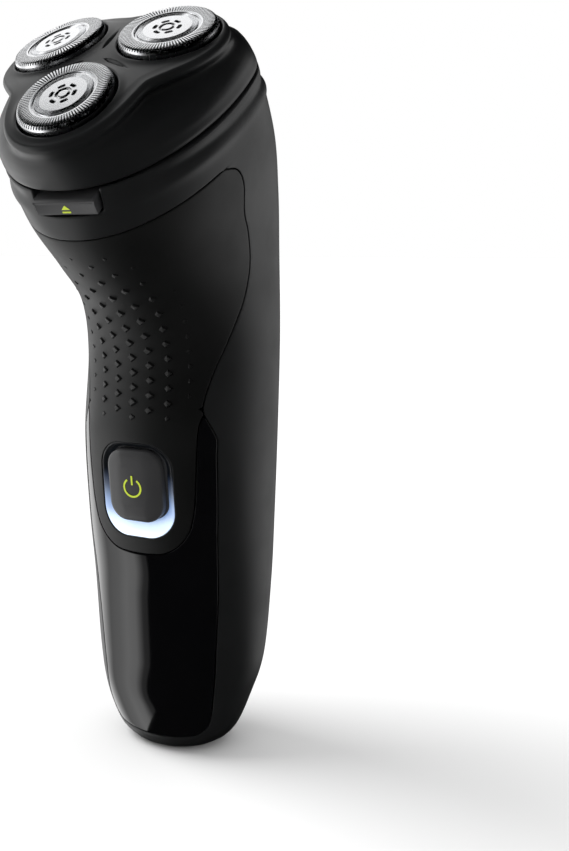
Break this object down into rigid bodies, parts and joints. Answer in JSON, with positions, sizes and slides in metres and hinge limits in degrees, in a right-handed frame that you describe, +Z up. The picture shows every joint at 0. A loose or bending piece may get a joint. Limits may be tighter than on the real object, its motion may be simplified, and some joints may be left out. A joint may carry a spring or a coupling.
{
  "type": "electric shaver",
  "caption": "Cordless rotary shaver: egg-section handle leaning into a flip-open head with floating caps, lit power button and pop-up trimmer.",
  "frame": {"origin": "middle of the flat foot that the shaver stands on", "axes": "+Z up the handle, -Y is the front with the power button, +X to the right as seen from behind"},
  "size_m": [0.053, 0.0784, 0.1642],
  "materials": {
    "shell_matte": "fine matte moulded ABS, near black",
    "grip_rubber": "soft-touch elastomer with raised chevrons",
    "panel_gloss": "piano black, polished",
    "seal_rubber": "soft silicone",
    "button_matte": "fine matte",
    "ring_clear": "frosted translucent light guide",
    "switch_metal": "plated",
    "led_clear": "clear epoxy",
    "board_green": "solder mask",
    "steel_plain": "turned steel",
    "frame_plastic": "moulded engineering plastic",
    "battery_wrap": "shrink sleeve",
    "nickel": "nickel plate",
    "can_steel": "drawn zinc-plated steel",
    "rotor_copper": "wound copper and steel",
    "gear_plastic": "natural acetal",
    "head_satin": "satin moulded ABS",
    "cap_steel": "ground stainless steel",
    "cutter_steel": "ground stainless steel"
  },
  "bodies": {
    "root": {"rear_shell": "shell_matte", "grip_panel": "grip_rubber", "front_panel": "panel_gloss", "collar": "shell_matte", "neck_seal": "seal_rubber", "light_ring": "ring_clear", "button_seal": "seal_rubber", "tact_switch": "switch_metal", "status_led": "led_clear", "circuit_board": "board_green", "board_screws": "steel_plain", "inner_frame": "frame_plastic", "battery": "battery_wrap", "battery_tabs": "nickel", "inlet_socket": "frame_plastic", "contact_pins": "nickel", "inlet_seal": "seal_rubber", "motor_can": "can_steel", "motor_screws": "steel_plain", "gear_plate": "frame_plastic", "drive_deck": "frame_plastic", "spindle_seals": "seal_rubber", "release_spring": "steel_plain", "hinge_pin": "steel_plain", "trimmer_bay": "frame_plastic", "trimmer_pin": "steel_plain"},
    "power_button": {"power_button": "button_matte"},
    "release_button": {"release_button": "button_matte"},
    "motor": {"motor_rotor": "rotor_copper", "motor_pinion": "gear_plastic"},
    "shaving_unit": {"head_housing": "head_satin", "retaining_frame": "frame_plastic"},
    "retaining_lock": {"retaining_lock": "frame_plastic"},
    "trimmer_flap": {"trimmer_flap": "shell_matte", "trimmer_comb": "cap_steel"},
    "trimmer_blade": {"trimmer_blade": "cutter_steel"},
    "trimmer_slide": {"trimmer_slide": "button_matte"},
    "spindle_front": {"spindle_front": "steel_plain", "gear_front": "gear_plastic"},
    "cap_front": {"cap_front": "cap_steel"},
    "cutter_front": {"cutter_front": "cutter_steel"},
    "spindle_right": {"spindle_right": "steel_plain", "gear_right": "gear_plastic"},
    "cap_right": {"cap_right": "cap_steel"},
    "cutter_right": {"cutter_right": "cutter_steel"},
    "spindle_left": {"spindle_left": "steel_plain", "gear_left": "gear_plastic"},
    "cap_left": {"cap_left": "cap_steel"},
    "cutter_left": {"cutter_left": "cutter_steel"}
  },
  "joints": [
    {"name": "power_press", "type": "slide", "parent": "root", "child": "power_button", "axis": [0, 0.99, 0.1409], "range_m": [0, 0.0005], "stiffness_N_per_m": 1500},
    {"name": "release_press", "type": "slide", "parent": "root", "child": "release_button", "axis": [0, 0.7859, 0.6184], "range_m": [0, 0.0012], "stiffness_N_per_m": 1200, "deforming": ["release_spring"]},
    {"name": "unit_open", "type": "hinge", "parent": "root", "child": "shaving_unit", "pos_m": [0, -0.00562, 0.16], "axis": [-1, 0, 0], "range_deg": [0, 95]},
    {"name": "lock_turn", "type": "hinge", "parent": "shaving_unit", "child": "retaining_lock", "pos_m": [0, -0.0281, 0.14556], "axis": [0, -0.6184, 0.7859], "range_deg": [0, 60]},
    {"name": "motor_spin", "type": "hinge", "parent": "root", "child": "motor", "pos_m": [0, -0.01635, 0.13062], "axis": [0, -0.6184, 0.7859], "continuous": true},
    {"name": "trimmer_swing", "type": "hinge", "parent": "root", "child": "trimmer_flap", "pos_m": [0, 0.0184, 0.09], "axis": [-1, 0, 0], "range_deg": [0, 50]},
    {"name": "trimmer_push", "type": "slide", "parent": "root", "child": "trimmer_slide", "axis": [0, 0.059, 0.9983], "range_m": [0, 0.005]},
    {"name": "blade_slide", "type": "slide", "parent": "trimmer_flap", "child": "trimmer_blade", "axis": [1, 0, 0], "range_m": [-0.0008, 0.0008]},
    {"name": "spindle_front_spin", "type": "hinge", "parent": "root", "child": "spindle_front", "pos_m": [0, -0.03337, 0.12995], "axis": [0, -0.6184, 0.7859], "continuous": true},
    {"name": "cap_front_float", "type": "slide", "parent": "shaving_unit", "child": "cap_front", "axis": [0, 0.7009, -0.7133], "range_m": [0, 0.001], "stiffness_N_per_m": 400},
    {"name": "cutter_front_spin", "type": "hinge", "parent": "cap_front", "child": "cutter_front", "pos_m": [0, -0.04633, 0.1452], "axis": [0, -0.7009, 0.7133], "continuous": true},
    {"name": "spindle_right_spin", "type": "hinge", "parent": "root", "child": "spindle_right", "pos_m": [0.01194, -0.01711, 0.14275], "axis": [0, -0.6184, 0.7859], "continuous": true},
    {"name": "cap_right_float", "type": "slide", "parent": "shaving_unit", "child": "cap_right", "axis": [-0.095, 0.5716, -0.815], "range_m": [0, 0.001], "stiffness_N_per_m": 400},
    {"name": "cutter_right_spin", "type": "hinge", "parent": "cap_right", "child": "cutter_right", "pos_m": [0.0126, -0.02918, 0.1587], "axis": [0.095, -0.5716, 0.815], "continuous": true},
    {"name": "spindle_left_spin", "type": "hinge", "parent": "root", "child": "spindle_left", "pos_m": [-0.01194, -0.01711, 0.14275], "axis": [0, -0.6184, 0.7859], "continuous": true},
    {"name": "cap_left_float", "type": "slide", "parent": "shaving_unit", "child": "cap_left", "axis": [0.095, 0.5716, -0.815], "range_m": [0, 0.001], "stiffness_N_per_m": 400},
    {"name": "cutter_left_spin", "type": "hinge", "parent": "cap_left", "child": "cutter_left", "pos_m": [-0.0126, -0.02918, 0.1587], "axis": [-0.095, -0.5716, 0.815], "continuous": true}
  ],
  "couplings": [
    {"joint": "trimmer_push", "follows": "trimmer_swing", "m_per_rad": 0.005729},
    {"joint": "spindle_front_spin", "follows": "motor_spin", "ratio": -0.55556},
    {"joint": "cutter_front_spin", "follows": "motor_spin", "ratio": -0.55556},
    {"joint": "spindle_right_spin", "follows": "motor_spin", "ratio": -0.55556},
    {"joint": "cutter_right_spin", "follows": "motor_spin", "ratio": -0.55556},
    {"joint": "spindle_left_spin", "follows": "motor_spin", "ratio": -0.55556},
    {"joint": "cutter_left_spin", "follows": "motor_spin", "ratio": -0.55556}
  ]
}
